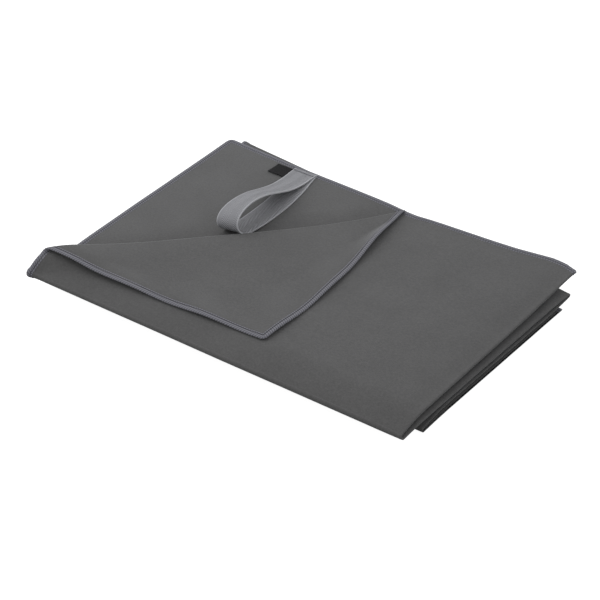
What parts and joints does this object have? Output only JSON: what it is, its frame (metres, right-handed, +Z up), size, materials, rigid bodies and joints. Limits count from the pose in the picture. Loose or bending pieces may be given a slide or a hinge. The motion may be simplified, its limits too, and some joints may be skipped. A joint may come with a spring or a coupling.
{
  "type": "quick dry towel",
  "caption": "Folded microfibre travel towel with one corner turned over, overlocked edges, a webbing hanging loop and a small blank woven label.",
  "frame": {"origin": "on the flat underside of the folded towel, on the floor, near the middle of its footprint", "axes": "+X along the long front crease towards the creased right side, +Y from the front crease to the back hem with the loop, +Z up"},
  "size_m": [0.4111, 0.3012, 0.0475],
  "materials": {
    "towel_fabric": "charcoal brushed microfibre, suede-like and matte",
    "edge_thread": "blue-grey overlock stitching",
    "webbing": "light grey twill webbing",
    "label": "black woven satin, blank",
    "sewing_thread": "grey sewing thread"
  },
  "bodies": {
    "bottom_fold": {"bottom_fold_back_hem_curl": "edge_thread", "bottom_fold_lower_back_hem": "edge_thread", "bottom_fold_lower_half": "towel_fabric", "bottom_fold_lower_half_left_hem": "edge_thread", "bottom_fold_right_crease": "towel_fabric", "bottom_fold_upper_back_hem": "edge_thread", "bottom_fold_upper_half": "towel_fabric", "bottom_fold_upper_half_left_hem": "edge_thread", "front_lower_inner_crease": "towel_fabric", "front_lower_outer_crease": "towel_fabric"},
    "lower_middle_fold": {"back_inner_crease": "towel_fabric", "back_outer_crease": "towel_fabric", "lower_middle_fold_lower_half": "towel_fabric", "lower_middle_fold_lower_half_left_hem": "edge_thread", "lower_middle_fold_right_crease": "towel_fabric", "lower_middle_fold_upper_half": "towel_fabric", "lower_middle_fold_upper_half_left_hem": "edge_thread"},
    "upper_middle_fold": {"front_upper_inner_crease": "towel_fabric", "front_upper_outer_crease": "towel_fabric", "upper_middle_fold_lower_half": "towel_fabric", "upper_middle_fold_lower_half_left_hem": "edge_thread", "upper_middle_fold_right_crease": "towel_fabric", "upper_middle_fold_upper_half": "towel_fabric", "upper_middle_fold_upper_half_left_hem": "edge_thread"},
    "top_fold": {"corner_crease": "towel_fabric", "top_back_hem_curl": "edge_thread", "top_lower_back_hem": "edge_thread", "top_lower_half": "towel_fabric", "top_lower_half_left_hem": "edge_thread", "top_right_crease": "towel_fabric", "top_upper_back_hem": "edge_thread", "top_upper_half": "towel_fabric", "top_upper_half_left_hem": "edge_thread"},
    "corner_flap": {"corner_flap": "towel_fabric", "corner_flap_front_hem": "edge_thread", "corner_flap_right_hem": "edge_thread"},
    "hang_loop": {"hang_loop": "webbing", "loop_bartack": "sewing_thread"},
    "woven_label": {"woven_label": "label"}
  },
  "joints": [
    {"name": "stack_unfold", "type": "hinge", "parent": "bottom_fold", "child": "lower_middle_fold", "pos_m": [0, -0.1075, 0.00545], "axis": [1, 0, 0], "range_deg": [0, 179], "deforming": ["front_lower_inner_crease", "front_lower_outer_crease"]},
    {"name": "middle_unfold", "type": "hinge", "parent": "lower_middle_fold", "child": "upper_middle_fold", "pos_m": [0, 0.136, 0.01205], "axis": [-0.9969, 0.0785, 0], "range_deg": [0, 179], "deforming": ["back_inner_crease", "back_outer_crease"]},
    {"name": "top_open", "type": "hinge", "parent": "upper_middle_fold", "child": "top_fold", "pos_m": [0, -0.1395, 0.01865], "axis": [1, 0, 0], "range_deg": [0, 178], "deforming": ["front_upper_inner_crease", "front_upper_outer_crease"]},
    {"name": "corner_turn", "type": "hinge", "parent": "top_fold", "child": "corner_flap", "pos_m": [-0.09025, 0.0048, 0.02525], "axis": [-0.6591, -0.7521, 0], "range_deg": [0, 179], "deforming": ["corner_crease", "hang_loop"]},
    {"name": "loop_swing", "type": "hinge", "parent": "top_fold", "child": "hang_loop", "pos_m": [0, 0.1372, 0.0235], "axis": [-1, 0, 0], "range_deg": [0, 175]},
    {"name": "label_flip", "type": "hinge", "parent": "top_fold", "child": "woven_label", "pos_m": [0, 0.1349, 0.0218], "axis": [-1, 0, 0], "range_deg": [0, 170]}
  ],
  "couplings": [
    {"joint": "middle_unfold", "follows": "stack_unfold", "ratio": 1}
  ]
}
